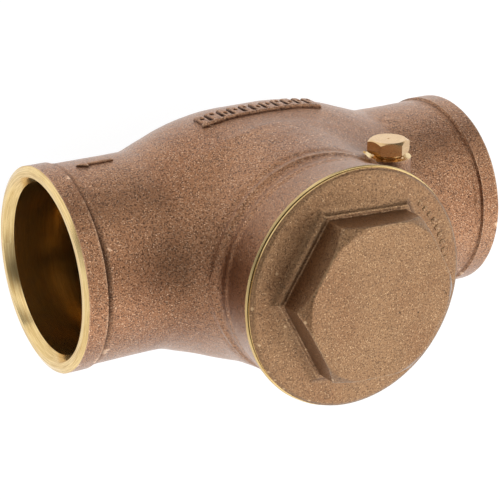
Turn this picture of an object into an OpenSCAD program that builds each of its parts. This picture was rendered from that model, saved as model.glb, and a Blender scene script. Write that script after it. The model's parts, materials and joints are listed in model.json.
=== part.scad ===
// Swing check valve, T-pattern, with solder cups, a screw-in hexagonal bonnet and a side hinge pin.
// Millimetres. The origin is on the pipe axis where the inlet tube stops. +X runs with the flow,
// +Z runs out through the bonnet and the hinge pin lies along Y. The disc is drawn closed.

/* [Solder cups] */
// Bore radius of both cups
cup_r = 27.05; // [26.9:0.05:27.2]
// Depth of a cup, from its mouth to the tube stop
cup_depth = 35.3; // [34:0.1:36]
// Distance between the two tube stops
stop_gap = 82; // [82:1:88]
// Outer radius of the end collars
collar_r = 32.6; // [32.2:0.1:34]
// Width of the end collars
collar_w = 7.4; // [4:0.1:9]

/* [Body] */
// Outer radius of the necks
neck_r = 31.8; // [31.4:0.1:32]
// Outer radius of the bulge
bulge_r = 40.4; // [40.3:0.1:42]
// Wall thickness round the chamber
wall_t = 5; // [4.6:0.1:5.2]
// Radius of the waterway through the seat
port_r = 24.5; // [22:0.1:25]
// Plane of the seat
seat_x = 16; // [16:0.1:17]

/* [Casting marks] */
// Number of raised bars on the side of the bulge
mark_n = 11; // [3:1:12]
// Distance from bar to bar
mark_pitch = 4; // [3:0.1:4]
// Width of a bar
mark_w = 2.6; // [1:0.1:2.8]
// Height of a bar
mark_tall = 7.8; // [4:0.1:9]
// Middle of the row above the pipe axis
mark_z = 1.6; // [0:0.1:2]
// How far a bar stands proud
mark_raise = 0.9; // [0.4:0.1:1]

/* [Bonnet] */
// Bonnet axis, downstream of the inlet's tube stop
bonnet_x = 43.6; // [43:0.1:44]
// Height of the boss face above the pipe axis
boss_z = 62.6; // [62:0.1:66]
// Outer radius of the boss
boss_r = 37.9; // [37.7:0.1:39]
// Outer radius of the bonnet's rim
rim_r = 37.2; // [36:0.1:37.4]
// Thickness of the bonnet's rim
rim_t = 1.9; // [1.5:0.1:3]
// Bonnet hexagon, across its flats
hex_af = 48; // [46:0.1:50]
// Top of the hexagon above the boss face
hex_h = 14.3; // [12:0.1:18]
// Angle of the hexagon about its axis
hex_turn = -3; // [-30:1:30]
// Outer radius of the bonnet's thread
thread_r = 31.65; // [31.4:0.05:31.7]
// Length of the bonnet's thread
thread_h = 11; // [8:0.5:12]

/* [Hinge] */
// Hinge pin, downstream of the inlet's tube stop
pin_x = 15.8; // [15.6:0.1:16]
// Hinge pin above the pipe axis
pin_z = 39.1; // [39:0.1:40]
// Radius of the hinge pin
pin_r = 3.175; // [3:0.025:3.2]
// Pin plug hexagon, across its flats
plug_af = 11.5; // [10:0.1:12]
// Height of the pin plug's head
plug_head_h = 4.2; // [3:0.1:6]
// Radius of the pin plug's thread
plug_thread_r = 4.93; // [4.8:0.01:4.95]
// Face of the boss that takes the pin plug, from the middle plane
plug_face_y = 30.3; // [30:0.1:31]
// Radius of that boss
plug_boss_r = 7.25; // [7:0.05:8]

/* [Disc] */
// Outer radius of the disc holder
disc_r = 28; // [27.5:0.1:28]
// Thickness of the disc holder
disc_t = 7; // [6:0.1:7]
// Radius of the soft seat disc
soft_r = 26.5; // [26:0.1:26.5]
// Thickness of the soft seat disc
soft_t = 4.1; // [3.5:0.1:4.1]
// Radius of the stud that hangs the disc
stud_r = 4; // [3.5:0.1:4.5]

/* [Hidden] */
$fn = 96;
eps = 0.5;          // overrun of a cutter past the face it opens
play = 0.08;        // radial clearance of a turning or threaded fit
face_gap = 0.05;    // gap between faces that rest on each other or slide

inlet_x = -cup_depth;
outlet_x = stop_gap + cup_depth;
bevel_r = 29;       // mouth bevel, where it meets the end face
bevel_d = 2.9;      // length of that bevel
edge_r = 30.8;      // outer edge of the end face
edge_w = 0.9;       // length of the collar's outer chamfer
step_w = 0.5;       // length of the step from collar to neck

bulge_x = 40.5;     // middle of the bulge
bulge_flat = 6;     // half length of its cylindrical middle
bulge_arc = 73;     // radius of its shoulders, seen from the side
shoulder = 19.3;    // steepest slope of a shoulder, in degrees
cavity_slope = 17;  // slope at which the chamber's upstream wall starts
lip_r = 29;         // outer radius of the seat's lip
minor_r = 30.5;     // bonnet opening below the thread
sweep_play = 0.9;   // room round the rim of the disc as it swings
sweep_top = 28;     // height up to which the chamber is widened for it
waist_r = 35.2;     // radius of the boss at its waist
waist_z = 46;       // height of the waist
skirt_r = 40;       // radius of the boss where it meets the bulge
skirt_z = 17;       // height at which it gets there
root_r = 37;        // radius of the boss at its root, inside the bulge
fairing_r = 26;     // radius of the fairing between boss and neck
fairing_top = 57;   // its crest, square to the slope, from the crossing of the two axes

mark_root = 3;      // depth of a bar, most of it inside the wall
arrow_x = 104.6;    // point of the flow arrow
arrow_z = 1.5;      // its height above the middle plane
arrow_w = 1.2;      // width of its shaft
barb_l = 3.5;       // length of its head
barb_w = 2;         // half width of its head
arrow_l = 12.3;     // its length
arrow_raise = 0.6;  // how far it stands proud

hub_r = 5.6;        // hanger hub
hub_w = 24;         // width of the hub
pocket_r = hub_r + 0.8;
pocket_w = hub_w + 0.6;
pin_end_y = 22.3;   // half length of the hinge pin
pin_hole_y = 22.5;  // depth of its holes from the middle plane
plug_gap = 1.3;     // thread that shows between the plug's head and its boss
plug_in = 8;        // thread of the plug inside its boss

holder_x = seat_x + 1;
holder_back = holder_x + disc_t;
soft_x = seat_x + face_gap;
soft_back = soft_x + soft_t;
hub_face_x = holder_back + 2;
eye_x = hub_face_x + face_gap;
eye_t = 6;
eye_r = 9;
nut_x = eye_x + eye_t + face_gap;
nut_t = 6;
nut_af = 13;
stud_end = nut_x + nut_t + 2;
small_r = 3;        // front stud that clamps the soft disc
washer_t = 1.6;
washer_r = 9.5;
small_nut_t = 5;
small_nut_af = 11.1;

bronze = [0.62, 0.46, 0.36];
bonnet_bronze = [0.64, 0.49, 0.36];
brass = [0.80, 0.66, 0.36];
steel = [0.72, 0.72, 0.70];
buna = [0.10, 0.10, 0.11];

// Outline of the bulge's shoulders as [radius, x], at an inward offset t
function shoulder_pts(t, side, from, to) =
    [for (i = [0:8]) let (a = from + (to - from) * i / 8)
        [bulge_r - bulge_arc + (bulge_arc - t) * cos(a),
         bulge_x + side * bulge_flat + (bulge_arc - t) * sin(a)]];

// Outer radius of the bulge at x, on its arcs
function body_r(x) =
    let (u = max(abs(x - bulge_x) - bulge_flat, 0))
    bulge_r - bulge_arc + sqrt(bulge_arc * bulge_arc - u * u);

// Axial run of the straight slope from the end of a shoulder down to radius r
function slope_run(r) = (bulge_r - bulge_arc * (1 - cos(shoulder)) - r) / tan(shoulder);

// A shape turned about the pipe axis, its outline given as [radius, x]
module turned(pts) {
    rotate([0, 90, 0])
        rotate_extrude()
            polygon(pts);
}

module along_x(x, r, h, sides = 96) {
    translate([x, 0, 0])
        rotate([0, 90, 0])
            cylinder(r = r, h = h, $fn = sides);
}

module along_y(y, r, h, r2 = undef) {
    translate([pin_x, y, pin_z])
        rotate([-90, 0, 0])
            cylinder(r1 = r, r2 = is_undef(r2) ? r : r2, h = h);
}

module on_bonnet_axis(z) {
    translate([bonnet_x, 0, z])
        children();
}

module body_outside() {
    half = bulge_flat + bulge_arc * sin(shoulder) + slope_run(neck_r);
    turned(concat(
        [[0, inlet_x],
         [edge_r, inlet_x],
         [collar_r, inlet_x + edge_w],
         [collar_r, inlet_x + collar_w],
         [neck_r, inlet_x + collar_w + step_w],
         [neck_r, bulge_x - half]],
        shoulder_pts(0, -1, -shoulder, 0),
        shoulder_pts(0, 1, 0, shoulder),
        [[neck_r, bulge_x + half],
         [neck_r, outlet_x - collar_w - step_w],
         [collar_r, outlet_x - collar_w],
         [collar_r, outlet_x - edge_w],
         [edge_r, outlet_x],
         [0, outlet_x]]));
}

// Round boss that carries the bonnet, waisted, with a rounded fairing up and down the pipe
module bonnet_boss() {
    on_bonnet_axis(0) {
        rotate_extrude()
            polygon([[0, 0], [root_r, 0], [skirt_r, skirt_z], [waist_r, waist_z],
                     [boss_r, boss_z], [0, boss_z]]);
        for (side = [0, 1])
            mirror([side, 0, 0])
                rotate([0, 45, 0])
                    translate([-25, 0, fairing_top - fairing_r])
                        rotate([0, 90, 0])
                            cylinder(r = fairing_r, h = 41);
    }
}

module hinge_bosses() {
    root_y = 18;
    along_y(-plug_face_y, plug_boss_r, plug_face_y - root_y);
    along_y(-plug_face_y + 3, plug_boss_r, 8, plug_boss_r + 3.5);
    along_y(root_y, plug_boss_r + 2.5, 9, plug_boss_r);
    along_y(root_y, plug_boss_r, 11.3);
}

// Row of plain raised bars along the side of the bulge
module casting_marks() {
    first = -(mark_n - 1) / 2;
    for (i = [0:mark_n - 1]) {
        x = bulge_x + (first + i) * mark_pitch;
        top = body_r(x) + mark_raise;
        translate([x - mark_w / 2, -top, mark_z - mark_tall / 2])
            cube([mark_w, mark_root, mark_tall]);
    }
}

// Raised arrow on the side of the outlet neck
module flow_arrow() {
    rooted = 1.5;   // how deep it starts inside the neck
    translate([arrow_x, rooted - neck_r, arrow_z])
        rotate([90, 0, 0])
            linear_extrude(rooted + arrow_raise) {
                translate([-arrow_l, -arrow_w / 2])
                    square([arrow_l - barb_l / 2, arrow_w]);
                polygon([[0, 0], [-barb_l, barb_w], [-barb_l, -barb_w]]);
            }
}

module waterway() {
    throat = 3;     // length of plain waterway before the outlet cup
    turned(concat(
        [[0, -eps],
         [port_r, -eps],
         [port_r, seat_x],
         [lip_r, seat_x],
         [lip_r, shoulder_pts(wall_t, -1, -cavity_slope, 0)[0][1]]],
        shoulder_pts(wall_t, -1, -cavity_slope, 0),
        shoulder_pts(wall_t, 1, 0, shoulder),
        [[port_r, stop_gap - throat],
         [port_r, stop_gap + eps],
         [0, stop_gap + eps]]));
}

// Solder cup with its mouth bevel; inward is 1 or -1 along X
module cup_and_bevel(mouth_x, inward) {
    translate([mouth_x, 0, 0])
        rotate([0, 90 * inward, 0]) {
            translate([0, 0, -eps])
                cylinder(r = cup_r, h = cup_depth + eps);
            translate([0, 0, -eps])
                cylinder(r1 = bevel_r + eps * (bevel_r - cup_r) / bevel_d, r2 = cup_r, h = bevel_d + eps);
        }
}

module bonnet_opening() {
    lip_clear = lip_r + 0.3;
    difference() {
        on_bonnet_axis(0)
            cylinder(r = minor_r, h = boss_z + eps);
        translate([0, -minor_r, -eps])
            cube([seat_x + 1, 2 * minor_r, lip_clear + eps]);
    }
    on_bonnet_axis(boss_z - thread_h - 1)
        cylinder(r = thread_r + play, h = thread_h + 1 + eps);
    on_bonnet_axis(boss_z - 1)
        cylinder(r1 = thread_r + play, r2 = thread_r + play + 1 + eps, h = 1 + eps);
}

// Ring that the rim of the swinging disc passes through, below the bonnet opening
module disc_sweep() {
    sweep_l = 54;
    intersection() {
        translate([pin_x, 0, pin_z])
            rotate([-90, 0, 0])
                rotate_extrude()
                    translate([pin_z, 0])
                        circle(r = disc_r + sweep_play);
        translate([seat_x + 1, -2 * disc_r, sweep_top - 2 * disc_r])
            cube([sweep_l, 4 * disc_r, 2 * disc_r]);
    }
}

module hinge_holes() {
    along_y(-pocket_w / 2, pocket_r, pocket_w);
    translate([seat_x - 5, -pocket_w / 2, lip_r + 0.3])
        cube([5, pocket_w, pin_z - lip_r - 0.3]);
    along_y(-pin_hole_y, pin_r + play, 2 * pin_hole_y);
    along_y(-plug_face_y - eps, plug_thread_r + play, plug_in + 0.4 + eps);
}

module body() {
    color(bronze)
        difference() {
            union() {
                body_outside();
                bonnet_boss();
                hinge_bosses();
                casting_marks();
                flow_arrow();
            }
            waterway();
            cup_and_bevel(inlet_x, 1);
            cup_and_bevel(outlet_x, -1);
            bonnet_opening();
            disc_sweep();
            hinge_holes();
        }
}

module bonnet() {
    ledge_z = 3.6;          // top of the low step under the hexagon
    ledge_af = hex_af + 1.7;
    crown_r = 24.6;         // flat circle on top of the hexagon
    crown_drop = 2.35;      // how far the corners are turned down
    corner_r = hex_af / 2 / cos(30);
    bore_r = 26.5;
    dome_r = 19.5;
    top_t = 5;
    color(bonnet_bronze)
        on_bonnet_axis(boss_z)
            difference() {
                union() {
                    cylinder(r = rim_r, h = rim_t);
                    translate([0, 0, rim_t])
                        cylinder(r1 = rim_r - 2.5, r2 = ledge_af / 2, h = 1);
                    rotate([0, 0, hex_turn])
                        cylinder(r = ledge_af / 2 / cos(30), h = ledge_z, $fn = 6);
                    intersection() {
                        rotate([0, 0, hex_turn])
                            cylinder(r = corner_r, h = hex_h, $fn = 6);
                        union() {
                            cylinder(r = corner_r + 1, h = hex_h - crown_drop);
                            translate([0, 0, hex_h - crown_drop])
                                cylinder(r1 = corner_r, r2 = crown_r, h = crown_drop);
                        }
                    }
                    translate([0, 0, -thread_h])
                        cylinder(r = thread_r, h = thread_h + 0.1);
                }
                translate([0, 0, -thread_h - eps])
                    cylinder(r = bore_r, h = thread_h + eps - 2);
                translate([0, 0, -2])
                    cylinder(r1 = bore_r, r2 = dome_r, h = 5);
                translate([0, 0, -2])
                    cylinder(r = dome_r, h = hex_h - top_t + 2);
            }
}

module hinge_pin_plug() {
    head_y = -plug_face_y - plug_gap - plug_head_h;
    corner_r = plug_af / 2 / cos(30);
    chamfer = corner_r - plug_af / 2 + 0.3;
    color(brass) {
        intersection() {
            along_y_hex(head_y, corner_r, plug_head_h);
            along_y(head_y, corner_r - chamfer, plug_head_h + eps, corner_r - chamfer + 2 * plug_head_h);
        }
        along_y(head_y + plug_head_h - 0.1, plug_thread_r, plug_gap + plug_in + 0.1);
    }
}

module along_y_hex(y, r, h) {
    translate([pin_x, y, pin_z])
        rotate([-90, 0, 0])
            rotate([0, 0, 26])
                cylinder(r = r, h = h, $fn = 6);
}

module hinge_pin() {
    color(steel)
        along_y(-plug_face_y + plug_in + 0.2, pin_r, plug_face_y - plug_in - 0.2 + pin_end_y);
}

// Side outline of the hanger's arm, as [x, z]
function arm_pts(x0, x1) =
    let (knee_z = 27,
         outer = x1 - 24.5,
         inner = x0 - 24.5,
         lean = 60)
    concat(
        [[x1, 0]],
        [for (a = [0:6:lean]) [24.5 + outer * cos(a), knee_z + outer * sin(a)]],
        [[pin_x + 0.6, pin_z + 1.3],
         [pin_x - 1.6, pin_z - 3.9]],
        [for (a = [lean:-12:0]) [24.5 + inner * cos(a), knee_z + inner * sin(a)]],
        [[x0, 0]]);

module disc_hanger() {
    arm_w = 15;
    color(bronze)
        difference() {
            union() {
                along_y(-hub_w / 2, hub_r, hub_w);
                translate([0, arm_w / 2, 0])
                    rotate([90, 0, 0])
                        linear_extrude(arm_w)
                            polygon(arm_pts(eye_x + 0.5, eye_x + eye_t));
                along_x(eye_x, eye_r, eye_t);
            }
            along_y(-hub_w, pin_r + play, 2 * hub_w);
            along_x(eye_x - eps, stud_r + play, eye_t + 2 * eps);
        }
}

module hanger_nut() {
    color(brass)
        difference() {
            along_x(nut_x, nut_af / 2 / cos(30), nut_t, 6);
            along_x(nut_x - eps, stud_r, nut_t + 2 * eps);
        }
}

module disc_holder() {
    recess_r = soft_r + 0.1;
    front_x = soft_x - washer_t - small_nut_t - 1.5;
    color(bronze) {
        difference() {
            along_x(holder_x, disc_r, disc_t);
            along_x(holder_x - eps, recess_r, soft_back - holder_x + eps);
        }
        along_x(holder_back - 0.1, 8, hub_face_x - holder_back + 0.1);
        along_x(hub_face_x - 0.1, stud_r, stud_end - hub_face_x + 0.1);
        along_x(front_x, small_r, soft_back - front_x + 0.1);
    }
}

module ring_x(x, outer, inner, h, sides = 96) {
    difference() {
        along_x(x, outer, h, sides);
        along_x(x - eps, inner, h + 2 * eps);
    }
}

module seat_disc() {
    color(buna)
        ring_x(soft_x, soft_r, small_r, soft_t);
}

module seat_disc_washer() {
    color(steel)
        ring_x(soft_x - washer_t, washer_r, small_r, washer_t);
}

module seat_disc_nut() {
    color(brass)
        ring_x(soft_x - washer_t - small_nut_t, small_nut_af / 2 / cos(30), small_r, small_nut_t, 6);
}

body();
bonnet();
hinge_pin_plug();
hinge_pin();
disc_hanger();
hanger_nut();
disc_holder();
seat_disc();
seat_disc_washer();
seat_disc_nut();
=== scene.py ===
"""Looks of a two inch bronze swing check valve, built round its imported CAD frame."""
import json
import math

import bmesh
import bpy
import numpy as np
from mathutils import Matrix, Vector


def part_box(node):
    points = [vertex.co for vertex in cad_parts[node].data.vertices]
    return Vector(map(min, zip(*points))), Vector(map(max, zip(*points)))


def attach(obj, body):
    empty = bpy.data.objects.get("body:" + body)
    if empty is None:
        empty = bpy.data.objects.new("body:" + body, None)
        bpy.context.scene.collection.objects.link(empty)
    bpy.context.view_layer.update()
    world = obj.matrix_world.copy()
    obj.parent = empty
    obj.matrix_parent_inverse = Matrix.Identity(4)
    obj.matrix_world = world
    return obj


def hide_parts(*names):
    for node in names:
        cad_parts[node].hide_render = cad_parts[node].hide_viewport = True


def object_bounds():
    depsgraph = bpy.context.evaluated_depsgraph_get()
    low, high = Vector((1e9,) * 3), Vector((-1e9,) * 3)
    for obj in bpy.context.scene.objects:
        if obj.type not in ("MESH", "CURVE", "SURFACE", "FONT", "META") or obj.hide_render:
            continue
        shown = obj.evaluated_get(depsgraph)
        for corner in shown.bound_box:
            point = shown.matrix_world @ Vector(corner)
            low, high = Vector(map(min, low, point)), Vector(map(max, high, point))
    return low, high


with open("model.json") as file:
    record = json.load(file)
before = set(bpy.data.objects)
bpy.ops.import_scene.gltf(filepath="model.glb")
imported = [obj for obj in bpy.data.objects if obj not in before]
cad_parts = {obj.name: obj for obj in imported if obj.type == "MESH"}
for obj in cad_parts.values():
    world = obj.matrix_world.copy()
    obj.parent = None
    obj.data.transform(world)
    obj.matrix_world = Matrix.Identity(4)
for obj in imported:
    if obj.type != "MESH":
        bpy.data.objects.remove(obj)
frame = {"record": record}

import openvdb
from mathutils import Matrix, Vector, noise

cad_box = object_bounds()
MM = 0.001


# ---------------------------------------------------------------- sizes, in mm
def box_mm(node):
    low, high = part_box(node)
    return low / MM, high / MM


BODY_LOW, BODY_HIGH = box_mm("body")
BONNET_LOW, BONNET_HIGH = box_mm("bonnet")
PLUG_LOW, PLUG_HIGH = box_mm("hinge_pin_plug")
PIN_LOW, PIN_HIGH = box_mm("hinge_pin")
HOLDER_LOW, HOLDER_HIGH = box_mm("disc_holder")
SOFT_LOW, SOFT_HIGH = box_mm("seat_disc")
WASHER_LOW, WASHER_HIGH = box_mm("seat_disc_washer")
SEAT_NUT_LOW, SEAT_NUT_HIGH = box_mm("seat_disc_nut")
NUT_LOW, NUT_HIGH = box_mm("hanger_nut")
HANGER_LOW, HANGER_HIGH = box_mm("disc_hanger")

CUP_R = frame["record"]["mounts"][0]["dims"]["r_mm"]
INLET_X = BODY_LOW.x
OUTLET_X = BODY_HIGH.x
STOP_GAP = frame["record"]["mounts"][1]["pos_m"][0] / MM
BEVEL_R = 29                        # mouth bevel, where it meets the end face
BEVEL_D = 2.9                       # length of that bevel
EDGE_R = 30.8                       # outer edge of the end face
EDGE_W = 0.9                        # length of the collar's outer chamfer
COLLAR_R = 32.6
COLLAR_W = 7.4
NECK_R = 31.8
PORT_R = 24.5
SEAT_X = SOFT_LOW.x - 0.05          # plane of the seat
LIP_R = 29

BULGE_R = -BODY_LOW.z
BULGE_X = 40.5
BULGE_FLAT = 6
BULGE_ARC = 73
SHOULDER = math.radians(19.3)
WALL = 5

BONNET_X = (BONNET_LOW.x + BONNET_HIGH.x) / 2
BOSS_Z = BODY_HIGH.z
BOSS_R = 37.9
BOSS_SHIFT = (0.2, -0.15)           # the casting sits a little off the machined rim
WAIST_R = 35.2
WAIST_Z = 46
ROOT_R = 37                         # the boss at the middle plane
SKIRT_R = 40
SKIRT_Z = 17
SEAM_ACROSS = 3                     # blend of boss and tube, at the sides and along the pipe
SEAM_ALONG = 10
THREAD_R = 31.65
THREAD_H = BOSS_Z - BONNET_LOW.z
THREAD_DEPTH = 1.05
THREAD_PITCH = 2.2
THREAD_PLAY = 0.08
MINOR_R = 30.5

RIM_R = (BONNET_HIGH.x - BONNET_LOW.x) / 2
RIM_T = 1.9
HEX_H = BONNET_HIGH.z - BOSS_Z
HEX_AF = 48
HEX_TURN = math.radians(-3)
CROWN_R = 24.6                      # turned circle on the hexagon's top
HOLLOW_R = 26.5                     # hollow inside the bonnet's thread
DOME_R = 19.5
TOP_T = 5                           # thickness of the bonnet's top
RELIEF_H = 0.4                      # relief under the bonnet's rim
RELIEF_W = 1.3
LEDGE_H = 4.2                       # flat ledge round the foot of the hexagon
LEDGE_AF = HEX_AF + 2.4
LEDGE_SLOPE = math.radians(60)

PIN_X = (PIN_LOW.x + PIN_HIGH.x) / 2
PIN_Z = (PIN_LOW.z + PIN_HIGH.z) / 2
PIN_R = (PIN_HIGH.x - PIN_LOW.x) / 2
PLUG_FACE_Y = -30.3                 # face of the boss that takes the plug
PLUG_AF = 11.5
PLUG_HEAD = 4.2
PLUG_THREAD_R = 4.93
PLUG_PITCH = 1.4
TAP_DEPTH = 8.4                     # depth of the plug's threaded hole
PLUG_BOSS_R = 7.25
BLIND_FACE_Y = 29.3                 # face of the blind boss on the other side
POCKET_R = 6.4                      # room for the hanger's hub
POCKET_Y = 12.3
LIP_GAP = 0.3                       # room over the seat's lip
DISC_R = 28
STUD_R = 4                          # stud on the back of the disc
FRONT_STUD_R = 3                    # stud through the soft facing
SEAT_NUT_AF = 11.1
HANGER_NUT_AF = 13
HUB_R = 5.6                         # hanger's hub on the pin, and its eye for the stud
EYE_R = 9
EYE_GAP = 6.05                      # from the hanger's front face to its nut

BODY_GRID = 0.8                     # voxel sizes
BONNET_GRID = 0.36
HANGER_GRID = 0.5
MARK_GRID = 0.25


# ------------------------------------------------------------- outline helpers
def arc(centre, radius, start, end, steps):
    """Points on an arc in an outline's own two axes; the angles are in degrees."""
    return [(centre[0] + radius * math.cos(math.radians(start + (end - start) * i / steps)),
             centre[1] + radius * math.sin(math.radians(start + (end - start) * i / steps)))
            for i in range(steps + 1)]


def rounded(outline, steps=4):
    """Rounds the corners of an outline that give a radius as their third number."""
    out = []
    for i, point in enumerate(outline):
        if len(point) < 3:
            out.append(tuple(point))
            continue
        here = Vector(point[:2])
        before = (Vector(outline[i - 1][:2]) - here).normalized()
        after = (Vector(outline[(i + 1) % len(outline)][:2]) - here).normalized()
        half = before.angle(after) / 2
        reach = point[2] / math.tan(half)
        centre = here + (before + after).normalized() * point[2] / math.sin(half)
        a, b = here + before * reach - centre, here + after * reach - centre
        turn = a.angle_signed(b)
        for k in range(steps + 1):
            angle = -turn * k / steps
            c, s = math.cos(angle), math.sin(angle)
            out.append((centre.x + a.x * c - a.y * s, centre.y + a.x * s + a.y * c))
    return out


def shoulder_points(inset, side, start, end, steps=10):
    """Shoulder of the bulge as (radius, x), moved inwards by inset."""
    points = []
    for i in range(steps + 1):
        angle = start + (end - start) * i / steps
        points.append((BULGE_R - BULGE_ARC + (BULGE_ARC - inset) * math.cos(angle),
                       BULGE_X + side * BULGE_FLAT + (BULGE_ARC - inset) * math.sin(angle)))
    return points


# ----------------------------------------------------- solids from a distance field
class Field:
    """A box of voxels. Its shapes are arrays of signed distance in mm, negative inside."""

    def __init__(self, low, high, step):
        self.step = step
        self.low = np.array(low, float)
        counts = np.ceil((np.array(high) - self.low) / step).astype(int) + 1
        self.axes = [self.low[i] + step * np.arange(counts[i]) for i in range(3)]
        self.x = self.axes[0][:, None, None].astype(np.float32)
        self.y = self.axes[1][None, :, None].astype(np.float32)
        self.z = self.axes[2][None, None, :].astype(np.float32)

    def turned(self, outline, axis, centre=(0, 0, 0)):
        """A solid of revolution about the line through centre along axis, from (radius, place) points."""
        mirrored = list(outline) + [(-r, t) for r, t in reversed(outline)]
        others = [i for i in range(3) if i != axis]
        a = self.axes[others[0]] - centre[others[0]]
        b = self.axes[others[1]] - centre[others[1]]
        radius = np.hypot(a[:, None], b[None, :])
        radii = np.arange(0, radius.max() + 2 * self.step, self.step / 2)
        table = outline_distance(mirrored, radii[None, :], self.axes[axis][:, None])
        place = radius / (self.step / 2)
        index = place.astype(int)
        part = (place - index).astype(np.float32)
        table = table.astype(np.float32)
        out = table[:, index] * (1 - part) + table[:, index + 1] * part
        return np.moveaxis(out, 0, axis)

    def solid(self, name, shape, materials):
        """Meshes the zero level of shape."""
        band = 3 * self.step
        grid = openvdb.FloatGrid(band)
        # the grid reads plain row order, and some of the arrays are held in another order
        grid.copyFromArray(np.ascontiguousarray(np.clip(shape, -band, band), np.float32))
        points, triangles, quads = grid.convertToPolygons(isovalue=0, adaptivity=0)
        points = (points * self.step + self.low) * MM
        faces = [tuple(f) for f in triangles.tolist()] + [tuple(f) for f in quads.tolist()]
        return new_object(name, points.tolist(), faces, materials)


def outline_distance(outline, u, v):
    """Signed distance from (u, v) to a closed outline."""
    u, v = np.broadcast_arrays(u, v)
    nearest = np.full(u.shape, np.inf)
    inside = np.zeros(u.shape, bool)
    for (u0, v0), (u1, v1) in zip(outline, outline[1:] + outline[:1]):
        du, dv = u1 - u0, v1 - v0
        size = du * du + dv * dv
        if size < 1e-12:
            continue
        t = np.clip(((u - u0) * du + (v - v0) * dv) / size, 0, 1)
        nearest = np.minimum(nearest, (u - u0 - t * du) ** 2 + (v - v0 - t * dv) ** 2)
        if dv:
            inside ^= ((v0 > v) != (v1 > v)) & (u < u0 + du * (v - v0) / dv)
    return np.where(inside, -1.0, 1.0) * np.sqrt(nearest)


def join(a, b, blend):
    """Union whose seam is filled over a width of blend."""
    if np.ndim(blend) == 0 and blend <= 0:
        return np.minimum(a, b)
    h = np.maximum(blend - np.abs(a - b), 0)
    return np.minimum(a, b) - h * h / np.maximum(4 * blend, 1e-6)


def common(a, b, blend):
    """What a and b share, with the new edge eased over a width of blend."""
    return -join(-a, -b, blend)


def cut(a, b, blend):
    """a without b, with the new edge eased over a width of blend."""
    return common(a, -b, blend)


def box_distance(centre, half, x, y, z):
    """Roughly the signed distance to an upright box."""
    return np.maximum(np.maximum(np.abs(x - centre[0]) - half[0], np.abs(y - centre[1]) - half[1]),
                      np.abs(z - centre[2]) - half[2])


# ------------------------------------------------------------------ mesh helpers
def new_object(name, points, faces, materials, material_index=0):
    mesh = bpy.data.meshes.new(name)
    mesh.from_pydata(points, [], faces)
    bm = bmesh.new()
    bm.from_mesh(mesh)
    bmesh.ops.recalc_face_normals(bm, faces=bm.faces)
    if bm.calc_volume(signed=True) < 0:
        bmesh.ops.reverse_faces(bm, faces=bm.faces)
    bm.to_mesh(mesh)
    bm.free()
    for material in materials:
        mesh.materials.append(material)
    mesh.polygons.foreach_set("material_index", [material_index] * len(mesh.polygons))
    piece = bpy.data.objects.new(name, mesh)
    bpy.context.scene.collection.objects.link(piece)
    return piece


AXES = {
    "x": lambda r, c, s, t: (t, r * c, r * s),
    "y": lambda r, c, s, t: (PIN_X + r * c, t, PIN_Z + r * s),
    "z": lambda r, c, s, t: (BONNET_X + r * c, r * s, t),
}


def lathe(name, outline, axis, materials, material_index=0, sides=160):
    """Turns an outline of (radius, place) points; it starts and ends on the axis, or closes on itself."""
    ring = [(math.cos(2 * math.pi * k / sides), math.sin(2 * math.pi * k / sides)) for k in range(sides)]
    put = AXES[axis]
    on_axis = outline[0][0] == 0
    points, rows = [], []
    for r, t in outline:
        if r == 0:
            rows.append([len(points)] * sides)
            points.append(put(0, 0, 0, t))
        else:
            rows.append(list(range(len(points), len(points) + sides)))
            points += [put(r, c, s, t) for c, s in ring]
    pairs = list(zip(rows, rows[1:]))
    if not on_axis:
        pairs.append((rows[-1], rows[0]))
    faces = []
    for low, high in pairs:
        for k in range(sides):
            face = [low[k], low[(k + 1) % sides], high[(k + 1) % sides], high[k]]
            face = [p for i, p in enumerate(face) if p != face[i - 1]]
            if len(face) > 2:
                faces.append(face)
    return new_object(name, [tuple(v * MM for v in p) for p in points], faces, materials, material_index)


def threaded(name, axis, start, end, root, crest, pitch, other, materials, material_index=0, sides=144):
    """A screw surface from start to end, closed by the radius other, which is 0 for a solid rod."""
    put = AXES[axis]
    steps = max(int(round(abs(end - start) / pitch * 8)), 2)
    points, rows = [], []
    for i in range(steps + 1):
        t = start + (end - start) * i / steps
        rows.append(list(range(len(points), len(points) + sides)))
        for k in range(sides):
            turn = k / sides
            phase = (t / pitch - turn) % 1
            height = min(max(1.5 - abs(phase - 0.5) * 4, 0), 1)
            r = root + (crest - root) * height
            points.append(put(r, math.cos(2 * math.pi * turn), math.sin(2 * math.pi * turn), t))
    faces = []

    def skin(low, high):
        for k in range(sides):
            faces.append([low[k], low[(k + 1) % sides], high[(k + 1) % sides], high[k]])

    for low, high in zip(rows, rows[1:]):
        skin(low, high)
    ends = []
    for t, row in ((start, rows[0]), (end, rows[-1])):
        if other:
            ring = list(range(len(points), len(points) + sides))
            points += [put(other, math.cos(2 * math.pi * k / sides), math.sin(2 * math.pi * k / sides), t)
                       for k in range(sides)]
            skin(row, ring)
            ends.append(ring)
        else:
            points.append(put(0, 0, 0, t))
            faces += [[row[k], row[(k + 1) % sides], len(points) - 1] for k in range(sides)]
    if other:
        skin(*ends)
    return new_object(name, [tuple(v * MM for v in p) for p in points], faces, materials, material_index)


def prism(name, across_flats, turn, start, end, axis, materials, material_index=0):
    """A hexagonal bar."""
    put = AXES[axis]
    r = across_flats / 2 / math.cos(math.pi / 6)
    points = []
    for t in (start, end):
        for k in range(6):
            a = turn + k * math.pi / 3
            points.append(tuple(v * MM for v in put(r, math.cos(a), math.sin(a), t)))
    faces = [[k, (k + 1) % 6, 6 + (k + 1) % 6, 6 + k] for k in range(6)]
    faces += [list(range(6)), list(range(6, 12))]
    return new_object(name, points, faces, materials, material_index)


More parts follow.
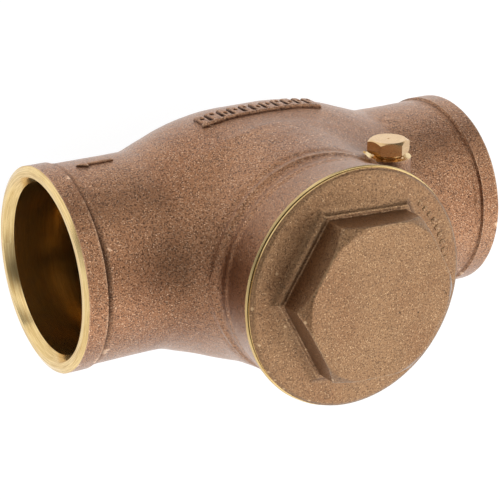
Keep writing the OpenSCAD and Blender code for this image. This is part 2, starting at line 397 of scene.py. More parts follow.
def boolean(piece, tool, operation="DIFFERENCE"):
    """Works tool into piece and deletes it; faces keep their own material numbers."""
    modifier = piece.modifiers.new("work", "BOOLEAN")
    modifier.solver = "MANIFOLD"
    modifier.operation = operation
    modifier.object = tool
    graph = bpy.context.evaluated_depsgraph_get()
    mesh = bpy.data.meshes.new_from_object(piece.evaluated_get(graph))
    old = piece.data
    piece.modifiers.clear()
    piece.data = mesh
    mesh.name = piece.name
    bpy.data.meshes.remove(old)
    bpy.data.objects.remove(tool)
    return piece


def smooth(piece, angle=38):
    """Smooth shading that keeps machined edges crisp."""
    mesh = piece.data
    mesh.polygons.foreach_set("use_smooth", [True] * len(mesh.polygons))
    mesh.set_sharp_from_angle(angle=math.radians(angle))
    return piece


def roughen(piece, layers, seed):
    """Moves the skin of a casting inwards by layers of (depth, size) in mm, so it never grows."""
    mesh = piece.data
    count = len(mesh.vertices)
    points = np.empty(count * 3, np.float32)
    mesh.vertices.foreach_get("co", points)
    points = points.reshape(-1, 3)
    normals = np.empty(count * 3, np.float32)
    mesh.vertex_normals.foreach_get("vector", normals)
    normals = normals.reshape(-1, 3)
    depth = np.zeros(count)
    for number, (amount, size) in enumerate(layers):
        shift = Vector((seed * 7.3 + number * 11.1, seed * 3.7, number * 5.9))
        scale = 1 / (size * MM)
        values = np.array([noise.noise(Vector(p) * scale + shift) for p in points.tolist()])
        depth += amount * (0.5 + 0.5 * values)
    points -= normals * (depth * MM)[:, None].astype(np.float32)
    mesh.vertices.foreach_set("co", points.reshape(-1))
    mesh.update()
    return piece


# --------------------------------------------------------------------- materials
class Graph:
    """A material's nodes, added one by one."""

    def __init__(self, name):
        self.material = bpy.data.materials.new(name)
        self.material.use_nodes = True
        self.tree = self.material.node_tree
        self.surface = self.tree.nodes["Principled BSDF"]

    def node(self, kind, settings=None, **inputs):
        node = self.tree.nodes.new(kind)
        for key, value in (settings or {}).items():
            setattr(node, key, value)
        for key, value in inputs.items():
            self.feed(node, int(key[1:]) if key[0] == "_" else key.replace("_", " ").title(), value)
        return node

    def feed(self, node, socket, value):
        if isinstance(value, bpy.types.Node):
            value = value.outputs[0]
        if isinstance(value, bpy.types.NodeSocket):
            self.tree.links.new(value, node.inputs[socket])
        else:
            node.inputs[socket].default_value = value

    def maths(self, operation, a, b=0.0, clamp=False):
        return self.node("ShaderNodeMath", {"operation": operation, "use_clamp": clamp}, _0=a, _1=b)

    def mix(self, factor, a, b, blend="MIX"):
        node = self.node("ShaderNodeMix", {"data_type": "RGBA", "blend_type": blend})
        self.feed(node, 0, factor)
        self.feed(node, 6, a)
        self.feed(node, 7, b)
        return node.outputs[2]

    def ramp(self, value, low, high):
        """0 below low, 1 above high."""
        return self.node("ShaderNodeMapRange", {"clamp": True}, _0=value, _1=low, _2=high)

    def noise(self, vector, per_metre, detail=2.0, roughness=0.5, distortion=0.0):
        node = self.node("ShaderNodeTexNoise", None, scale=per_metre, detail=detail,
                         roughness=roughness, distortion=distortion)
        self.feed(node, "Vector", vector)
        return node.outputs[0]

    def place(self):
        return self.node("ShaderNodeTexCoord").outputs["Object"]


def rgb(r, g, b):
    """A colour given in display values from 0 to 255."""
    def linear(v):
        v /= 255
        return v / 12.92 if v <= 0.04045 else ((v + 0.055) / 1.055) ** 2.4
    return (linear(r), linear(g), linear(b), 1.0)


def cast_metal(name, base, deep, pale, ruddy, dark, reach, shade_and_grime, metallic=0.95, rough=0.36, grain=1.0):
    """As-cast bronze: sand grain, bright specks, dark pits and slow changes of tone."""
    g = Graph(name)
    where = g.place()
    slow = g.noise(where, 38, 3, 0.55)
    middle = g.noise(where, 320, 3, 0.6)
    sand = g.noise(where, 1900, 2, 0.75)
    fleck = g.noise(where, 3000, 1, 0.5)
    tone = g.mix(g.ramp(slow, 0.42, 0.62), base, ruddy)
    tone = g.mix(g.maths("MULTIPLY", g.ramp(middle, 0.48, 0.72), 0.22), tone, deep)
    tone = g.mix(g.maths("MULTIPLY", g.ramp(sand, 0.51, 0.37), 1.0 * grain), tone, deep)
    tone = g.mix(g.maths("MULTIPLY", g.ramp(fleck, 0.60, 0.72), 0.9 * grain), tone, pale)
    pits = g.node("ShaderNodeTexVoronoi", {"feature": "F1"}, vector=where, scale=260.0)
    pit = g.ramp(pits.outputs[0], 0.10, 0.05)
    rare = g.ramp(g.noise(where, 70, 1, 0.5), 0.60, 0.64)
    pit = g.maths("MULTIPLY", pit, rare)
    tone = g.mix(g.maths("MULTIPLY", pit, 0.6), tone, deep)
    # paler on sharp convex edges
    convex_edge = g.ramp(g.node("ShaderNodeNewGeometry").outputs["Pointiness"], 0.515, 0.60)
    tone = g.mix(g.maths("MULTIPLY", convex_edge, 0.8), tone, pale)
    # painted shade: ambient occlusion darkens hollows, creases and the feet of walls towards the dark colour,
    # partly also the casting's own darker oxide in its hollows
    hollow = g.node("ShaderNodeAmbientOcclusion", {"samples": 6}, distance=reach).outputs["AO"]
    tone = g.mix(g.maths("MULTIPLY", g.ramp(hollow, 0.93, 0.50), shade_and_grime), tone, dark)
    g.feed(g.surface, "Base Color", tone)
    g.feed(g.surface, "Metallic", metallic)
    shine = g.maths("MULTIPLY", g.ramp(fleck, 0.60, 0.72), -0.16)
    grit = g.maths("ADD", g.maths("MULTIPLY", sand, 0.20), rough - 0.10)
    g.feed(g.surface, "Roughness", g.maths("ADD", grit, shine))
    g.feed(g.surface, "Coat Weight", 0.4)
    g.feed(g.surface, "Coat Roughness", 0.3)
    height = g.maths("ADD", g.maths("MULTIPLY", sand, 0.9), g.maths("MULTIPLY", middle, 1.2))
    height = g.maths("SUBTRACT", height, g.maths("MULTIPLY", pit, 1.5))
    bump = g.node("ShaderNodeBump", None, strength=1.0 * grain, distance=0.00021)
    g.feed(bump, "Height", height)
    g.feed(g.surface, "Normal", bump)
    g.feed(g.surface, "Coat Normal", bump)
    return g.material


def turned_metal(name, axis, base, deep, metallic=1.0, rough=0.22, marks=1.0):
    """Machined metal whose fine tool marks run round an axis."""
    g = Graph(name)
    parts = g.node("ShaderNodeSeparateXYZ", None, vector=g.place())
    centre = {"x": (0, 0, 0), "y": (PIN_X * MM, 0, PIN_Z * MM), "z": (BONNET_X * MM, 0, 0)}[axis]
    along = "xyz".index(axis)
    around = [i for i in range(3) if i != along]
    a, b = (g.maths("SUBTRACT", parts.outputs[i], centre[i]) for i in around)
    radius = g.maths("SQRT", g.maths("ADD", g.maths("MULTIPLY", a, a), g.maths("MULTIPLY", b, b)))
    angle = g.maths("MULTIPLY", g.maths("ARCTAN2", a, b), 0.0012)
    rings = g.node("ShaderNodeCombineXYZ", None, x=radius, y=parts.outputs[along], z=angle)
    fine = g.noise(rings.outputs[0], 4200, 2, 0.6)
    broad = g.noise(rings.outputs[0], 900, 2, 0.6)
    cloud = g.noise(g.place(), 120, 3, 0.6)
    streak = g.maths("ADD", g.maths("MULTIPLY", fine, 0.5), g.maths("MULTIPLY", broad, 0.5))
    tone = g.mix(g.maths("MULTIPLY", g.ramp(streak, 0.42, 0.64), 0.5 * marks), base, deep)
    tone = g.mix(g.maths("MULTIPLY", g.ramp(cloud, 0.5, 0.8), 0.25), tone, deep)
    g.feed(g.surface, "Base Color", tone)
    g.feed(g.surface, "Metallic", metallic)
    g.feed(g.surface, "Roughness", g.maths("ADD", g.maths("MULTIPLY", streak, 0.22), rough - 0.06))
    bump = g.node("ShaderNodeBump", None, strength=0.35 * marks, distance=0.00003)
    g.feed(bump, "Height", streak)
    g.feed(g.surface, "Normal", bump)
    return g.material


def rubber(name):
    g = Graph(name)
    where = g.place()
    bloom = g.noise(where, 160, 3, 0.6)
    grain = g.noise(where, 2600, 2, 0.6)
    tone = g.mix(g.ramp(bloom, 0.4, 0.75), rgb(24, 24, 26), rgb(46, 45, 46))
    g.feed(g.surface, "Base Color", tone)
    g.feed(g.surface, "Roughness", g.maths("ADD", g.maths("MULTIPLY", grain, 0.2), 0.45))
    bump = g.node("ShaderNodeBump", None, strength=0.3, distance=0.00008)
    g.feed(bump, "Height", grain)
    g.feed(g.surface, "Normal", bump)
    return g.material


BRASS = rgb(238, 210, 152)
BRASS_DEEP = rgb(188, 148, 84)
# in both castings the last colour and the two numbers after it are the colour, reach in metres and strength
# of the painted shade in hollows, partly also the casting's darker oxide there
CAST = cast_metal("cast_bronze", rgb(178, 127, 89), rgb(88, 56, 35), rgb(244, 204, 168), rgb(168, 116, 79),
                  rgb(62, 36, 22), 0.032, 0.85, grain=1.1)
CAP = cast_metal("bonnet_bronze", rgb(157, 118, 81), rgb(84, 57, 34), rgb(216, 180, 138), rgb(149, 108, 72),
                 rgb(60, 37, 22), 0.004, 0.5, grain=0.8)
BRASS_X = turned_metal("machined_brass_x", "x", BRASS, BRASS_DEEP, rough=0.16, marks=1.5)
BRASS_Y = turned_metal("machined_brass_y", "y", BRASS, BRASS_DEEP)
BRASS_Z = turned_metal("machined_brass_z", "z", BRASS, BRASS_DEEP)
PLUG_BRASS = turned_metal("plug_brass", "y", rgb(226, 190, 140), rgb(180, 138, 90), rough=0.2, marks=0.6)
STEEL_Y = turned_metal("stainless_y", "y", rgb(196, 196, 192), rgb(140, 140, 138), rough=0.25)
STEEL_X = turned_metal("stainless_x", "x", rgb(196, 196, 192), rgb(140, 140, 138), rough=0.25)
NITRILE = rubber("nitrile")

CAST_SET = [CAST, BRASS_X, BRASS_Y, BRASS_Z]
BY_X, BY_Y, BY_Z = 1, 2, 3          # places of the machined metals in a casting's list


# -------------------------------------------------------------------------- body
def body_outline(allowance):
    """Outside of the body as (radius, x), longer than the machined part by allowance."""
    slope = (BULGE_R - BULGE_ARC * (1 - math.cos(SHOULDER)) - NECK_R) / math.tan(SHOULDER)
    half = BULGE_FLAT + BULGE_ARC * math.sin(SHOULDER) + slope
    left = [(0, INLET_X - allowance),
            (COLLAR_R, INLET_X - allowance),
            (COLLAR_R, INLET_X + COLLAR_W + 1),
            (NECK_R, INLET_X + COLLAR_W + 2),
            (NECK_R, BULGE_X - half, 12)]
    right = [(NECK_R, BULGE_X + half, 12),
             (NECK_R, OUTLET_X - COLLAR_W - 2),
             (COLLAR_R, OUTLET_X - COLLAR_W - 1),
             (COLLAR_R, OUTLET_X + allowance),
             (0, OUTLET_X + allowance)]
    middle = shoulder_points(0, -1, -SHOULDER, 0) + shoulder_points(0, 1, 0, SHOULDER)
    return rounded(left + middle + right)


def chamber_outline():
    """Inside of the chamber as (radius, x), with the seat's lip standing in it."""
    start = math.radians(17)
    wall = shoulder_points(WALL, -1, -start, 0) + shoulder_points(WALL, 1, 0, SHOULDER)
    far = STOP_GAP - 3
    return [(0, SEAT_X), (LIP_R, SEAT_X), (LIP_R, wall[0][1])] + wall + [(PORT_R, far), (0, far)]


def chamber(f):
    """Everything inside the casting that stays as cast."""
    hollow = f.turned(chamber_outline(), 0)
    opening = np.hypot(f.x - BONNET_X, f.y) - MINOR_R
    opening = np.maximum(opening, -f.z)
    lip_guard = np.maximum(f.x - SEAT_X - 1, f.z - LIP_R - LIP_GAP)
    opening = np.maximum(opening, -lip_guard)
    hollow = join(hollow, opening, 1.5)
    ring = np.hypot(np.hypot(f.x - PIN_X, f.z - PIN_Z) - PIN_Z, f.y) - DISC_R - 0.9
    ring = np.maximum(np.maximum(ring, SEAT_X + 1 - f.x), f.z - 28)
    hollow = join(hollow, ring, 1.5)
    pocket = np.maximum(np.hypot(f.x - PIN_X, f.z - PIN_Z) - POCKET_R, np.abs(f.y) - POCKET_Y)
    low = LIP_R + LIP_GAP
    slot = box_distance((SEAT_X - 2.5, 0, (low + PIN_Z) / 2), (2.6, POCKET_Y, (PIN_Z - low) / 2),
                        f.x, f.y, f.z)
    return join(hollow, join(pocket, slot, 0), 0.8)


def boss_field(f):
    """Waisted round boss under the bonnet, with two faint raised lines round its waist."""
    return f.turned([(0, 0), (ROOT_R, 0), (SKIRT_R, SKIRT_Z), (WAIST_R + 1.5, WAIST_Z - 8),
                     (WAIST_R + 0.7, WAIST_Z - 6), (WAIST_R + 1.3, WAIST_Z - 4.5),
                     (WAIST_R + 0.3, WAIST_Z - 3), (WAIST_R, WAIST_Z - 0.8),
                     (WAIST_R + 0.6, WAIST_Z + 0.7), (WAIST_R + 0.1, WAIST_Z + 2.2),
                     (WAIST_R + 0.9, WAIST_Z + 7),
                     (BOSS_R, BOSS_Z), (BOSS_R, BOSS_Z + 1), (0, BOSS_Z + 1)], 2,
                    (BONNET_X + BOSS_SHIFT[0], BOSS_SHIFT[1], 0))


def fairing(f, side):
    """Rounded ridge that runs from the boss down to the neck, up or down the pipe."""
    steep, crest, radius = math.radians(53), 53.8, 26
    foot, head = 16, 32
    out = (f.x - BONNET_X) * side
    height = out * math.sin(steep) + f.z * math.cos(steep)
    along = out * math.cos(steep) - f.z * math.sin(steep)
    ridge = np.hypot(height - crest + radius, f.y) - radius
    return np.maximum(ridge, np.maximum(along - foot, -head - along))


def hinge_boss(f, face):
    """Short round boss on the hinge line, out to face."""
    out = f.y * math.copysign(1, face)
    root = 10
    radius = np.hypot(f.x - PIN_X, f.z - PIN_Z)
    return np.maximum(np.maximum(radius - PLUG_BOSS_R, out - abs(face)), root - out)


def skin_patch(x_low, x_high, z_low, z_high):
    """A fine grid over a strip of the body's side, and the distance there to the plain body."""
    f = Field((x_low, -BULGE_R - 2, z_low), (x_high, 0.8 - NECK_R, z_high), MARK_GRID)
    return f, f.turned(body_outline(0), 0)


def raised(pattern, skin, height, ease):
    """Stands pattern proud of the skin by height, with its edges eased; it is rooted in the wall."""
    return np.maximum(common(pattern, skin - height, ease), -skin - 2)


def raised_marks():
    """Plain blocks and a rail in place of cast lettering."""
    widths = (2.9, 2.2, 3.0, 2.5, 3.1, 2.7, 2.1, 3.0, 2.4, 3.1, 2.6)
    pitch, tall, middle = 4, 7.8, 1.6
    reach = len(widths) * pitch / 2
    f, skin = skin_patch(BULGE_X - reach - 2, BULGE_X + reach + 2, middle - tall, middle + tall)
    pattern = box_distance((BULGE_X, 0, middle + tall / 2 - 0.6), (reach, 99, 0.6), f.x, f.y, f.z)
    for i, width in enumerate(widths):
        x = BULGE_X + (i + 0.5) * pitch - reach
        block = box_distance((x, 0, middle), (width / 2, 99, tall / 2), f.x, f.y, f.z)
        dimple = np.hypot(f.x - x, (f.z - middle + 1.2 - 0.9 * (i % 3)) * 0.7) - 0.55
        pattern = join(pattern, cut(block, dimple, 0.4), 0.6)
    return f.solid("marks", raised(pattern, skin, 0.9, 0.7), CAST_SET)


def flow_arrow():
    tip, length, middle = 104.6, 12.3, 1.5
    f, skin = skin_patch(tip - length - 1.5, tip + 1.5, middle - 3.5, middle + 3.5)
    back = tip - f.x
    shaft = np.maximum(np.abs(f.z - middle) - 0.6, np.maximum(1.5 - back, back - length))
    head = np.maximum((np.abs(f.z - middle) - back * 0.57) * 0.87, back - 3.5)
    return f.solid("arrow", raised(join(shaft, head, 0.4), skin, 0.6, 0.5), CAST_SET)


def make_body():
    f = Field((INLET_X - 2, -43, -BULGE_R - 2), (OUTLET_X + 2, 43, BOSS_Z + 3), BODY_GRID)
    tube = f.turned(body_outline(1.2), 0)
    boss = boss_field(f)
    for side in (-1, 1):
        boss = join(boss, fairing(f, side), SEAM_ACROSS)
    along = (f.x - BONNET_X) ** 2
    seam = SEAM_ACROSS + (SEAM_ALONG - SEAM_ACROSS) * along / (along + f.y ** 2 + 1)
    shape = join(tube, boss, seam)
    for face in (PLUG_FACE_Y - 0.8, BLIND_FACE_Y):
        shape = join(shape, hinge_boss(f, face), 3.5)
    shape = cut(shape, chamber(f), 1.2)
    piece = f.solid("body_casting", shape, CAST_SET)
    roughen(piece, ((0.22, 14), (0.12, 4)), 1)
    for relief in (raised_marks(), flow_arrow()):
        boolean(piece, relief, "UNION")
    for tool in body_tools():
        boolean(piece, tool)
    return smooth(piece)


def body_tools():
    """The cutters that machine the casting."""
    far = COLLAR_R + 4
    taper = (far - EDGE_R) * EDGE_W / (COLLAR_R - EDGE_R)
    inlet = [(0, INLET_X - 3), (far, INLET_X - 3), (far, INLET_X + taper), (EDGE_R, INLET_X, 0.15),
             (BEVEL_R, INLET_X, 0.1), (CUP_R, INLET_X + BEVEL_D, 0.2), (CUP_R, 0), (PORT_R, 0, 0.3),
             (PORT_R, SEAT_X, 0.4), (LIP_R + 0.3, SEAT_X), (LIP_R + 0.3, SEAT_X + 0.5), (0, SEAT_X + 0.5)]
    yield lathe("inlet_tool", rounded(inlet), "x", CAST_SET, BY_X)
    outlet = [(0, OUTLET_X + 3), (far, OUTLET_X + 3), (far, OUTLET_X - taper), (EDGE_R, OUTLET_X, 0.15),
              (BEVEL_R, OUTLET_X, 0.1), (CUP_R, OUTLET_X - BEVEL_D, 0.2), (CUP_R, STOP_GAP),
              (PORT_R, STOP_GAP, 0.3), (PORT_R, STOP_GAP - 4), (0, STOP_GAP - 4)]
    yield lathe("outlet_tool", rounded(outlet), "x", CAST_SET, BY_X)
    inlet_step = (INLET_X + COLLAR_W, 1, 0.12, 0.6)
    outlet_step = (OUTLET_X - COLLAR_W, -1, 0.9, 0.25)
    for step, inward, deep, lean in (inlet_step, outlet_step):
        groove = [(NECK_R - deep, step), (NECK_R - deep * 0.8, step + inward * 0.5),
                  (NECK_R - deep * 0.2, step + inward * 1.4), (NECK_R + 0.1, step + inward * 3),
                  (far, step + inward * 3),
                  (far, step - inward * lean * (far - NECK_R) / (COLLAR_R - NECK_R))]
        yield lathe("collar_tool", groove, "x", CAST_SET)
    bore = THREAD_R + THREAD_PLAY
    top = [(0, BOSS_Z + 4), (BOSS_R + 3, BOSS_Z + 4), (BOSS_R + 3, BOSS_Z - 3.6), (BOSS_R - 0.5, BOSS_Z, 0.1),
           (bore + 1, BOSS_Z), (bore, BOSS_Z - 1), (bore, BOSS_Z - 1.6), (0, BOSS_Z - 1.6)]
    yield lathe("boss_tool", rounded(top), "z", CAST_SET, BY_Z)
    yield threaded("tap", "z", BOSS_Z - THREAD_H - 1, BOSS_Z - 1.2, bore - THREAD_DEPTH, bore, THREAD_PITCH,
                   0, CAST_SET, BY_Z)
    hole = PLUG_THREAD_R + THREAD_PLAY
    pin_hole, end = PIN_R + THREAD_PLAY, PIN_HIGH.y + 0.2
    spot = [(0, PLUG_FACE_Y - 6), (PLUG_BOSS_R + 0.6, PLUG_FACE_Y - 6), (PLUG_BOSS_R + 0.6, PLUG_FACE_Y),
            (hole + 0.6, PLUG_FACE_Y), (hole, PLUG_FACE_Y + 0.6), (hole, PLUG_FACE_Y + TAP_DEPTH),
            (pin_hole, PLUG_FACE_Y + TAP_DEPTH), (pin_hole, end), (0, end)]
    yield lathe("spot_tool", spot, "y", CAST_SET, BY_Y, 64)


# ------------------------------------------------------------------------ bonnet
def hexagon(f, across):
    """Distance to the sides of the bonnet's hexagon."""
    out = None
    for k in range(3):
        a = HEX_TURN + math.pi / 6 + k * math.pi / 3
        side = np.abs((f.x - BONNET_X) * math.cos(a) + f.y * math.sin(a)) - across / 2
        out = side if out is None else np.maximum(out, side)
    return out


def flange_pips():
    """A short row of plain pips on the flange, in place of cast lettering."""
    top = BOSS_Z + RIM_T + 0.35
    row = 31.6
    f = Field((BONNET_X - row - 2, -row, top - 1.6), (BONNET_X - 16, 1, top + 1), MARK_GRID)
    pips = None
    for degrees in range(187, 232, 5):
        a = math.radians(degrees)
        out = (f.x - BONNET_X) * math.cos(a) + f.y * math.sin(a) - row
        across = (f.x - BONNET_X) * -math.sin(a) + f.y * math.cos(a)
        pip = np.maximum(np.abs(out) - 0.9, np.abs(across) - 0.75)
        pips = pip if pips is None else np.minimum(pips, pip)
    return f.solid("pips", np.maximum(common(pips, f.z - top, 0.5), top - 1.2 - f.z), [CAP])


def make_bonnet():
    reach = RIM_R + 2
    f = Field((BONNET_X - reach, -reach, BONNET_LOW.z - 2),
              (BONNET_X + reach, reach, BONNET_HIGH.z + 2), BONNET_GRID)
    centre = (BONNET_X, 0, 0)
    low = BOSS_Z - THREAD_H - 1
    flange = f.turned([(0, low), (THREAD_R + 1, low), (THREAD_R + 1, BOSS_Z - 0.8),
                       (RIM_R + 1, BOSS_Z - 0.8), (RIM_R + 1, BOSS_Z + 0.8), (RIM_R - 0.2, BOSS_Z + 1),
                       (RIM_R - 0.6, BOSS_Z + RIM_T - 0.25), (RIM_R - 1.8, BOSS_Z + RIM_T),
                       (31, BOSS_Z + RIM_T + 0.2), (27, BOSS_Z + RIM_T + 0.7),
                       (0, BOSS_Z + RIM_T + 0.7)], 2, centre)
    rise = f.z - BOSS_Z - LEDGE_H
    ledge = cut(hexagon(f, LEDGE_AF) * math.sin(LEDGE_SLOPE) + rise * math.cos(LEDGE_SLOPE), -rise, 0.3)
    shape = join(flange, np.maximum(ledge, BOSS_Z - f.z), 1.3)
    below_top = f.z - BOSS_Z - HEX_H
    crown = below_top * 0.745 + (np.hypot(f.x - BONNET_X, f.y) - CROWN_R) * 0.667
    head = common(common(hexagon(f, HEX_AF), below_top, 0.5), crown, 0.4)
    shape = join(shape, np.maximum(head, BOSS_Z - f.z), 0.35)
    low, roof = BOSS_Z - THREAD_H - 4, BOSS_Z + HEX_H - TOP_T
    hollow = f.turned([(0, low), (HOLLOW_R, low), (HOLLOW_R, BOSS_Z - 2), (DOME_R, BOSS_Z + 3),
                       (DOME_R, roof), (0, roof)], 2, centre)
    shape = cut(shape, hollow, 1.5)
    piece = f.solid("bonnet_casting", shape, [CAP, BRASS_X, BRASS_Y, BRASS_Z])
    roughen(piece, ((0.14, 9), (0.07, 3)), 2)
    boolean(piece, flange_pips(), "UNION")
    far = RIM_R + 6
    root, end_z = THREAD_R - THREAD_DEPTH, BONNET_LOW.z
    rim = [(root, BOSS_Z), (RIM_R - RELIEF_W, BOSS_Z), (RIM_R - RELIEF_W, BOSS_Z + RELIEF_H),
           (RIM_R, BOSS_Z + RELIEF_H), (RIM_R, BOSS_Z + RIM_T + 3), (far, BOSS_Z + RIM_T + 3),
           (far, end_z - 4), (root, end_z - 4), (root, end_z), (THREAD_R, end_z + THREAD_DEPTH),
           (THREAD_R, BOSS_Z - 1.5), (root, BOSS_Z - 1.5)]
    boolean(piece, lathe("rim_tool", rim, "z", CAST_SET, BY_Z))
    boolean(piece, threaded("die", "z", end_z - 0.5, BOSS_Z - 1.2, root, THREAD_R, THREAD_PITCH, THREAD_R + 3,
                            CAST_SET, BY_Z))
    end = [(0, end_z - 6), (far, end_z - 6), (far, end_z), (0, end_z)]
    boolean(piece, lathe("end_tool", end, "z", CAST_SET, BY_Z))
    return smooth(piece)


# ------------------------------------------------------------------- hinge parts
def make_plug():
    top = PLUG_LOW.y
    under = top + PLUG_HEAD
    corner = PLUG_AF / 2 / math.cos(math.pi / 6)
    piece = prism("pin_plug_screw", PLUG_AF, math.radians(-26), top, under, "y", [PLUG_BRASS])
    crown = [(0, top), (corner - 1.2, top), (corner + 0.3, top + 1.0), (corner + 0.3, under - 0.5),
             (corner - 0.5, under), (0, under)]
    boolean(piece, lathe("crown_tool", crown, "y", [PLUG_BRASS], 0, 96), "INTERSECT")
    screw = [(0, under - 0.5), (PLUG_THREAD_R - 0.6, under - 0.5), (PLUG_THREAD_R - 0.6, PLUG_HIGH.y - 0.6),
             (PLUG_THREAD_R - 1.2, PLUG_HIGH.y), (0, PLUG_HIGH.y)]
    boolean(piece, lathe("shank", screw, "y", [PLUG_BRASS], 0, 64), "UNION")
    boolean(piece, threaded("thread", "y", under + 0.4, PLUG_HIGH.y - 0.7, PLUG_THREAD_R - 0.7, PLUG_THREAD_R,
                            PLUG_PITCH, PLUG_THREAD_R - 1.5, [PLUG_BRASS], 0, 64), "UNION")
    dot = [(0, top - 1), (0.35, top - 1), (0.35, top + 0.1), (0, top + 0.4)]
    boolean(piece, lathe("centre_drill", dot, "y", [PLUG_BRASS], 0, 24))
    return smooth(piece, 30)


def make_pin():
    r = PIN_R
    outline = [(0, PIN_LOW.y), (r - 0.5, PIN_LOW.y, 0.1), (r, PIN_LOW.y + 0.5, 0.3),
               (r, PIN_HIGH.y - 0.5, 0.3), (r - 0.5, PIN_HIGH.y, 0.1), (0, PIN_HIGH.y)]
    return smooth(lathe("hinge_pin_rod", rounded(outline), "y", [STEEL_Y], 0, 64), 30)


# --------------------------------------------------------------------- disc parts
def make_hanger():
    margin = Vector((2, 2, 2))
    f = Field(HANGER_LOW - margin, HANGER_HIGH + margin, HANGER_GRID)
    hub = np.maximum(np.hypot(f.x - PIN_X, f.z - PIN_Z) - HUB_R, np.abs(f.y) - HANGER_HIGH.y)
    back = HANGER_HIGH.x
    front = NUT_LOW.x - EYE_GAP
    face = front + 0.5
    bend, lean = (24.5, 27), 60
    side = [(back, 0)] + arc(bend, back - bend[0], 0, lean, 10)
    side += [(PIN_X + 0.6, PIN_Z + 1.3), (PIN_X - 1.6, PIN_Z - 3.9)] + arc(bend, face - bend[0], lean, 0, 6)
    side += [(face, 0)]
    arm = outline_distance(side, f.axes[0][:, None], f.axes[2][None, :])[:, None, :].astype(np.float32)
    width = 7.5 - 1.2 * np.clip((f.z - 8) / 20, 0, 1)
    arm = common(arm, np.abs(f.y) - width, 2.2)
    eye = np.maximum(np.hypot(f.y, f.z) - EYE_R, np.abs(f.x - (front + back) / 2) - (back - front) / 2)
    shape = join(join(hub, arm, 2.5), eye, 1.5)
    shape = np.maximum(shape, f.x - back)
    shape = np.maximum(shape, front - f.x)
    shape = np.maximum(shape, np.abs(f.y) - HANGER_HIGH.y)
    piece = f.solid("hanger_arm", shape, CAST_SET)
    roughen(piece, ((0.10, 6), (0.06, 2)), 3)
    bore = PIN_R + THREAD_PLAY
    reach = HANGER_HIGH.y + 1
    reamer = [(0, -reach), (bore, -reach), (bore, reach), (0, reach)]
    boolean(piece, lathe("reamer", reamer, "y", CAST_SET, BY_Y, 64))
    stud = STUD_R + THREAD_PLAY
    drill = [(0, front - 1), (stud, front - 1), (stud, back + 1), (0, back + 1)]
    boolean(piece, lathe("drill", drill, "x", CAST_SET, BY_X, 64))
    return smooth(piece)


def nut(name, low, high, across, bore, material, axis="x"):
    """Hexagon nut with turned corners on both faces and a countersunk bore."""
    corner = across / 2 / math.cos(math.pi / 6)
    piece = prism(name, across, 0, low, high, axis, [material])
    ends = [(0, low), (corner - 0.9, low), (corner + 0.2, low + 0.7), (corner + 0.2, high - 0.7),
            (corner - 0.9, high), (0, high)]
    boolean(piece, lathe("nut_tool", ends, axis, [material], 0, 96), "INTERSECT")
    hole = [(0, low - 1), (bore + 1.5, low - 1), (bore, low + 0.5), (bore, high - 0.5),
            (bore + 1.5, high + 1), (0, high + 1)]
    boolean(piece, lathe("nut_drill", hole, axis, [material], 0, 64))
    return smooth(piece, 30)


def make_disc():
    x0, back = HOLDER_LOW.x, SEAT_X + 8
    recess = SOFT_HIGH.y + 0.1
    front = SEAT_X + 1
    shoulder = NUT_LOW.x - EYE_GAP - 0.1
    outline = [(0, x0), (FRONT_STUD_R - 0.5, x0, 0.2), (FRONT_STUD_R, x0 + 0.5, 0.2),
               (FRONT_STUD_R, SOFT_HIGH.x), (recess, SOFT_HIGH.x, 0.2), (recess, front, 0.2),
               (DISC_R, front, 0.5), (DISC_R, back - 1.6, 1.0), (DISC_R - 3.2, back, 1.2),
               (DISC_R - 6, back, 1.5), (DISC_R - 8, back - 1.0, 1.5),
               (12, back - 1.0, 1.2), (10.5, back + 0.6, 0.8), (8, shoulder, 0.3), (STUD_R, shoulder),
               (STUD_R, HOLDER_HIGH.x - 0.8, 0.2), (STUD_R - 0.8, HOLDER_HIGH.x, 0.1), (0, HOLDER_HIGH.x)]
    return smooth(lathe("disc_plate", rounded(outline), "x", [CAST]), 30)


def make_soft_disc():
    low, high, r, bore = SOFT_LOW.x, SOFT_HIGH.x, SOFT_HIGH.y, FRONT_STUD_R
    seat = (PORT_R + LIP_R) / 2
    outline = [(bore, low), (seat - 4, low, 0.5), (seat - 3.2, low + 0.06), (r - 0.6, low, 0.3),
               (r, low + 0.6, 0.3), (r, high - 0.4, 0.2), (r - 0.4, high), (bore, high)]
    return smooth(lathe("nitrile_disc", rounded(outline), "x", [NITRILE]), 30)


def make_washer():
    low, high, r, bore = WASHER_LOW.x, WASHER_HIGH.x, WASHER_HIGH.y, FRONT_STUD_R
    outline = [(bore, low), (r - 0.4, low, 0.2), (r, low + 0.4, 0.2), (r, high), (bore, high)]
    return smooth(lathe("seat_washer", rounded(outline), "x", [STEEL_X]), 30)


# ------------------------------------------------------------------ camera, lights
def direction(azimuth, elevation):
    a, e = math.radians(azimuth), math.radians(elevation)
    return Vector((math.cos(e) * math.cos(a), math.cos(e) * math.sin(a), math.sin(e)))


def make_camera():
    back = direction(-36.13, 53.68)
    level = Vector((0, 0, 1)).cross(back).normalized()
    roll = math.radians(120)
    right = level * math.cos(roll) + back.cross(level) * math.sin(roll)
    up = back.cross(right)
    aim = Vector((0.04365, 0.00732, 0.0016))
    distance = 0.5597
    data = bpy.data.cameras.new("camera")
    data.lens = 122.9
    data.sensor_width = 36
    camera = bpy.data.objects.new("camera", data)
    bpy.context.scene.collection.objects.link(camera)
    matrix = Matrix((right, up, back)).transposed().to_4x4()
    matrix.translation = aim + back * distance
    camera.matrix_world = matrix
    bpy.context.scene.camera = camera


SKY = 1.0
SKY_PATCHES = (                     # azimuth, elevation, outer and inner half angle, brightness
    (-118, 0, 38, 14, 0.15),
    (-28, -14, 40, 18, 0.15),
    (-25, 68, 55, 20, 0.30),
    (-18, 47, 17, 9, 0.35),
    (-134, 50, 26, 10, 1.75),
    (136, 44, 45, 15, 1.65),
    (-40, 20, 25, 12, 1.50),
)


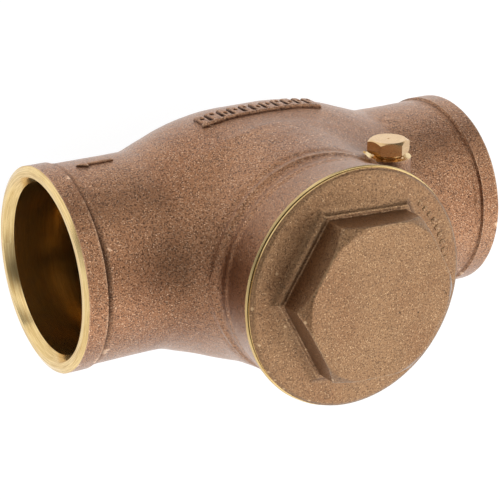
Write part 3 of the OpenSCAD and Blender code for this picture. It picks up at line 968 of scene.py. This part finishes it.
def make_room():
    world = bpy.data.worlds.new("studio")
    world.use_nodes = True
    tree = world.node_tree
    backdrop = tree.nodes["Background"]
    where = tree.nodes.new("ShaderNodeTexCoord")
    level = None
    for azimuth, elevation, outer, inner, brightness in SKY_PATCHES:
        dot = tree.nodes.new("ShaderNodeVectorMath")
        dot.operation = "DOT_PRODUCT"
        tree.links.new(where.outputs["Generated"], dot.inputs[0])
        dot.inputs[1].default_value = direction(azimuth, elevation)
        patch = tree.nodes.new("ShaderNodeMapRange")
        patch.interpolation_type = "SMOOTHSTEP"
        tree.links.new(dot.outputs["Value"], patch.inputs[0])
        patch.inputs[1].default_value = math.cos(math.radians(outer))
        patch.inputs[2].default_value = math.cos(math.radians(inner))
        patch.inputs[3].default_value = 1
        patch.inputs[4].default_value = brightness
        shade = tree.nodes.new("ShaderNodeMath")
        shade.operation = "MULTIPLY"
        shade.inputs[0].default_value = SKY
        if level:
            tree.links.new(level.outputs[0], shade.inputs[0])
        tree.links.new(patch.outputs[0], shade.inputs[1])
        level = shade
    tree.links.new(level.outputs[0], backdrop.inputs[1])
    backdrop.inputs[0].default_value = (1.0, 1.0, 1.0, 1)
    bpy.context.scene.world = world
    bpy.context.scene.view_settings.view_transform = "Standard"

    floor_z = cad_box[0][2] - 0.0002
    g = Graph("floor_paint")
    mottle = g.noise(g.place(), 3, 2, 0.5)
    g.feed(g.surface, "Base Color", g.mix(mottle, (0.14, 0.14, 0.14, 1), (0.16, 0.16, 0.16, 1)))
    g.feed(g.surface, "Roughness", 0.9)
    g.feed(g.surface, "Emission Color", (1, 1, 1, 1))
    g.feed(g.surface, "Emission Strength", 0.94)
    middle, half = (0.03, 0.02), 0.26
    corners = [(middle[0] + half * i, middle[1] + half * j, floor_z)
               for i, j in ((-1, -1), (1, -1), (1, 1), (-1, 1))]
    floor = new_object("floor", corners, [(0, 1, 2, 3)], [g.material])


# ------------------------------------------------------------------------ assembly
def fit(piece, body, node):
    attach(piece, body)
    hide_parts(node)


make_camera()
make_room()
fit(make_body(), "valve_body", "body")
fit(make_bonnet(), "bonnet", "bonnet")
fit(make_plug(), "pin_plug", "hinge_pin_plug")
fit(make_pin(), "hinge_pin", "hinge_pin")
fit(make_hanger(), "hanger", "disc_hanger")
hanger_nut = nut("hanger_locknut", NUT_LOW.x, NUT_HIGH.x, HANGER_NUT_AF, STUD_R, BRASS_X)
fit(hanger_nut, "disc", "hanger_nut")
fit(make_disc(), "disc", "disc_holder")
fit(make_soft_disc(), "disc", "seat_disc")
fit(make_washer(), "disc", "seat_disc_washer")
seat_nut = nut("seat_nut", SEAT_NUT_LOW.x, SEAT_NUT_HIGH.x, SEAT_NUT_AF, FRONT_STUD_R, BRASS_X)
fit(seat_nut, "disc", "seat_disc_nut")
